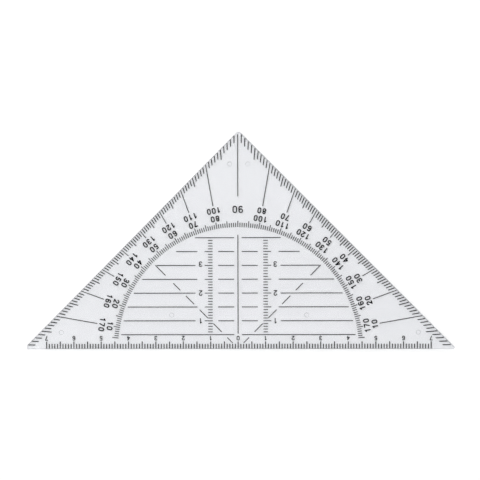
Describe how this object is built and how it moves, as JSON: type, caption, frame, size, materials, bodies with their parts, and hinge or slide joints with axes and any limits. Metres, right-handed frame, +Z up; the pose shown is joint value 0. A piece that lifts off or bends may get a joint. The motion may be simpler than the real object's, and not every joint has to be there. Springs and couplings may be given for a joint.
{
  "type": "set square",
  "caption": "Flat clear right-angled drawing triangle with a straight ruling edge, printed below with a centred ruler, a protractor, two height scales and lines parallel to the edge.",
  "frame": {"origin": "The foot of the ruler's zero mark: on the ruling edge, at the middle of the printed scale, in the plane of the printed underside. The print's own zero point, from which its arcs and rows are measured, lies 0.2 mm up from the edge.", "axes": "+X along the ruling edge towards the untrimmed tip, +Y in the plate from the ruling edge towards the right-angled corner, +Z up, off the paper. The plate lies between Z = 0 and 1.6 mm, and its nubs reach down to Z = -0.3 mm."},
  "size_m": [0.1556, 0.0785, 0.0019],
  "materials": {
    "clear_plastic": "clear, polished, with a slight grey cast",
    "ink": "matt black screen print"
  },
  "bodies": {
    "root": {"clear_plate": "clear_plastic", "ruler_ticks": "ink", "ruler_numbers": "ink", "arc_ticks": "ink", "outer_degree_numbers": "ink", "inner_degree_numbers": "ink", "right_leg_ticks": "ink", "left_leg_ticks": "ink", "centre_line": "ink", "parallel_lines": "ink", "left_height_scale": "ink", "right_height_scale": "ink", "height_numbers": "ink", "diagonal_lines": "ink"}
  },
  "joints": []
}
